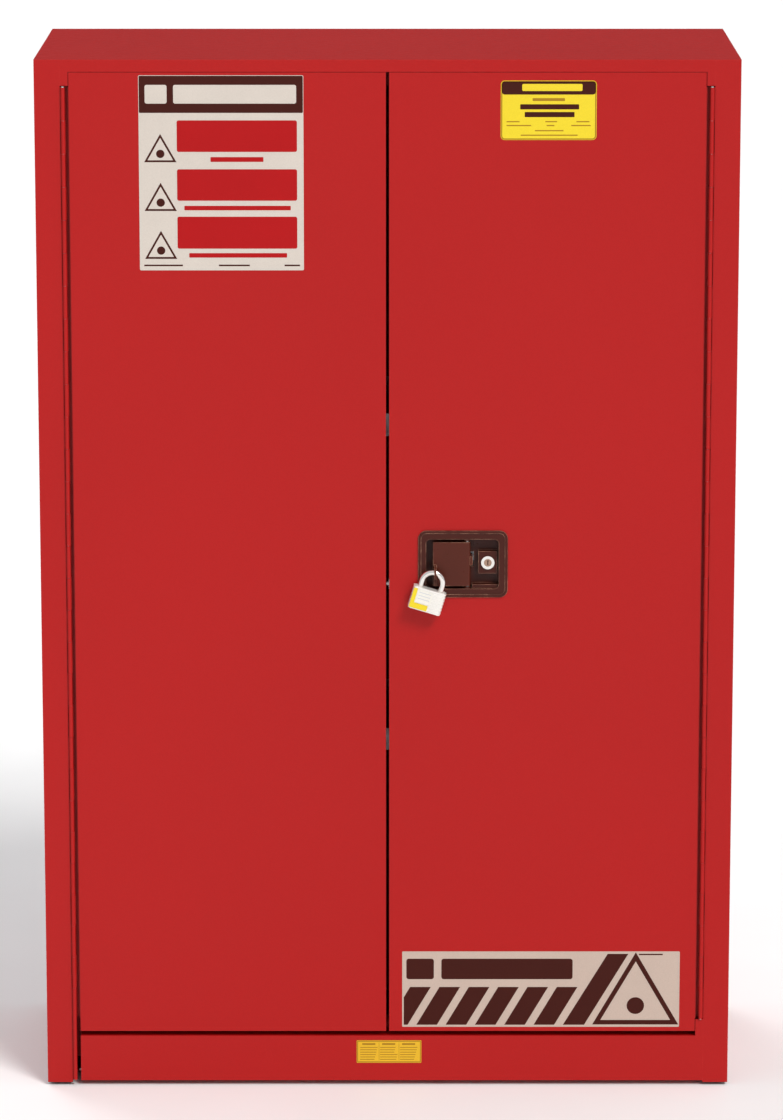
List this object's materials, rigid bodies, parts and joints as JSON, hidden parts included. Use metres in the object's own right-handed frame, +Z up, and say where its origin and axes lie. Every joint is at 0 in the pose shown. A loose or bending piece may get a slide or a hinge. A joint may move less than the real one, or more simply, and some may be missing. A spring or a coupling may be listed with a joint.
{
  "type": "flammable storage cabinet",
  "caption": "Tall two-door steel storage cabinet with a double wall, leak-tight sump, shelves, capped vents, three-point paddle latch and a padlock.",
  "frame": {"origin": "on the floor under the middle of the overall box, padlock and vent caps included", "axes": "+Z up, the doors face -Y, +X to the right seen from the front"},
  "size_m": [1.128, 0.484, 1.651],
  "materials": {
    "red_powder_coat": "semi-gloss powder coat with a fine orange peel",
    "brown_enamel": "glossy brown enamel",
    "zinc_plate": "bright zinc plate",
    "galvanized_sheet": "galvanized, faint spangle",
    "bright_steel": "drawn bright steel",
    "spring_steel": "oiled spring wire",
    "polished_chrome": "polished",
    "brass": "satin",
    "laminated_steel": "laminated steel plates",
    "black_nylon": "moulded nylon"
  },
  "bodies": {
    "cabinet": {"left_side_panel": "red_powder_coat", "right_side_panel": "red_powder_coat", "back_panel": "red_powder_coat", "top_panel": "red_powder_coat", "bottom_panel": "red_powder_coat", "header_panel": "red_powder_coat", "sill_panel": "red_powder_coat", "inner_left_wall": "red_powder_coat", "inner_right_wall": "red_powder_coat", "inner_back_wall": "red_powder_coat", "inner_ceiling": "red_powder_coat", "sump_pan": "red_powder_coat", "base_gussets": "bright_steel", "foot_nuts": "zinc_plate", "shelf_standards": "zinc_plate", "shelf_clips": "zinc_plate", "left_hinge_frame_leaf": "red_powder_coat", "right_hinge_frame_leaf": "red_powder_coat", "left_hinge_pin": "bright_steel", "right_hinge_pin": "bright_steel", "rod_strikes": "zinc_plate", "left_vent_sleeve": "zinc_plate", "right_vent_sleeve": "zinc_plate", "left_vent_screen": "bright_steel", "right_vent_screen": "bright_steel", "ground_stud": "brass", "ground_nuts": "brass"},
    "left_door": {"left_door_skin": "red_powder_coat", "left_door_liner": "red_powder_coat", "left_hinge_door_leaf": "red_powder_coat", "centre_strike": "zinc_plate"},
    "right_door": {"right_door_skin": "red_powder_coat", "right_door_liner": "red_powder_coat", "right_hinge_door_leaf": "red_powder_coat", "latch_pan": "brown_enamel", "paddle_pin": "bright_steel", "latch_case": "zinc_plate", "rod_guides": "black_nylon", "lock_cylinder": "polished_chrome", "lock_nut": "zinc_plate", "upper_rod_spring": "spring_steel", "lower_rod_spring": "spring_steel"},
    "paddle": {"paddle": "brown_enamel"},
    "latch_cam": {"latch_cam": "zinc_plate"},
    "latch_slide": {"latch_slide": "bright_steel"},
    "upper_rod": {"upper_rod": "bright_steel"},
    "lower_rod": {"lower_rod": "bright_steel"},
    "lock_plug": {"lock_plug": "polished_chrome", "lock_tail": "zinc_plate"},
    "padlock_shackle": {"padlock_shackle": "polished_chrome"},
    "padlock_case": {"padlock_case": "laminated_steel"},
    "padlock_plug": {"padlock_plug": "brass"},
    "lower_shelf": {"lower_shelf": "galvanized_sheet"},
    "upper_shelf": {"upper_shelf": "galvanized_sheet"},
    "left_vent_cap": {"left_vent_cap": "zinc_plate"},
    "right_vent_cap": {"right_vent_cap": "zinc_plate"},
    "front_left_foot": {"front_left_foot": "zinc_plate"},
    "front_right_foot": {"front_right_foot": "zinc_plate"},
    "back_left_foot": {"back_left_foot": "zinc_plate"},
    "back_right_foot": {"back_right_foot": "zinc_plate"}
  },
  "joints": [
    {"name": "left_door_swing", "type": "hinge", "parent": "cabinet", "child": "left_door", "pos_m": [-0.5015, -0.2165, 0.85], "axis": [0, 0, -1], "range_deg": [0, 180]},
    {"name": "right_door_swing", "type": "hinge", "parent": "cabinet", "child": "right_door", "pos_m": [0.5015, -0.2165, 0.85], "axis": [0, 0, 1], "range_deg": [0, 180]},
    {"name": "paddle_pull", "type": "hinge", "parent": "right_door", "child": "paddle", "pos_m": [0.1255, -0.2105, 0.8566], "axis": [0, 0, 1], "range_deg": [0, 30], "stiffness_Nm_per_rad": 1},
    {"name": "cam_turn", "type": "hinge", "parent": "right_door", "child": "latch_cam", "pos_m": [0.1255, -0.18525, 0.84], "axis": [0, -1, 0], "range_deg": [0, 30.1]},
    {"name": "slide_draw", "type": "slide", "parent": "right_door", "child": "latch_slide", "axis": [1, 0, 0], "range_m": [0, 0.0106]},
    {"name": "upper_rod_draw", "type": "slide", "parent": "right_door", "child": "upper_rod", "axis": [0, 0, -1], "range_m": [0, 0.0092], "deforming": ["upper_rod_spring"]},
    {"name": "lower_rod_draw", "type": "slide", "parent": "right_door", "child": "lower_rod", "axis": [0, 0, 1], "range_m": [0, 0.0092], "deforming": ["lower_rod_spring"]},
    {"name": "lock_plug_turn", "type": "hinge", "parent": "right_door", "child": "lock_plug", "pos_m": [0.1578, -0.195, 0.8576], "axis": [0, 1, 0], "range_deg": [0, 90]},
    {"name": "padlock_swing", "type": "hinge", "parent": "paddle", "child": "padlock_shackle", "pos_m": [0.075, -0.23, 0.845], "axis": [-1, 0, 0], "range_deg": [0, 100]},
    {"name": "padlock_drop", "type": "slide", "parent": "padlock_shackle", "child": "padlock_case", "axis": [-0.2874, 0, -0.9578], "range_m": [0, 0.01]},
    {"name": "padlock_plug_turn", "type": "hinge", "parent": "padlock_case", "child": "padlock_plug", "pos_m": [0.06221, -0.231, 0.80238], "axis": [-0.2874, 0, -0.9578], "range_deg": [0, 90]},
    {"name": "lower_shelf_lift", "type": "slide", "parent": "cabinet", "child": "lower_shelf", "axis": [0, 0, 1], "range_m": [0, 0.03]},
    {"name": "upper_shelf_lift", "type": "slide", "parent": "cabinet", "child": "upper_shelf", "axis": [0, 0, 1], "range_m": [0, 0.03]},
    {"name": "left_vent_cap_pull", "type": "slide", "parent": "cabinet", "child": "left_vent_cap", "axis": [-1, 0, 0], "range_m": [0, 0.08]},
    {"name": "right_vent_cap_pull", "type": "slide", "parent": "cabinet", "child": "right_vent_cap", "axis": [1, 0, 0], "range_m": [0, 0.08]},
    {"name": "front_left_foot_turn", "type": "hinge", "parent": "cabinet", "child": "front_left_foot", "pos_m": [-0.476, -0.143, 0], "axis": [0, 0, 1], "continuous": true},
    {"name": "front_right_foot_turn", "type": "hinge", "parent": "cabinet", "child": "front_right_foot", "pos_m": [0.476, -0.143, 0], "axis": [0, 0, 1], "continuous": true},
    {"name": "back_left_foot_turn", "type": "hinge", "parent": "cabinet", "child": "back_left_foot", "pos_m": [-0.476, 0.196, 0], "axis": [0, 0, 1], "continuous": true},
    {"name": "back_right_foot_turn", "type": "hinge", "parent": "cabinet", "child": "back_right_foot", "pos_m": [0.476, 0.196, 0], "axis": [0, 0, 1], "continuous": true}
  ],
  "couplings": [
    {"joint": "cam_turn", "follows": "paddle_pull", "ratio": 1},
    {"joint": "slide_draw", "follows": "paddle_pull", "m_per_rad": 0.02},
    {"joint": "upper_rod_draw", "follows": "paddle_pull", "m_per_rad": 0.0172},
    {"joint": "lower_rod_draw", "follows": "paddle_pull", "m_per_rad": 0.0172}
  ]
}
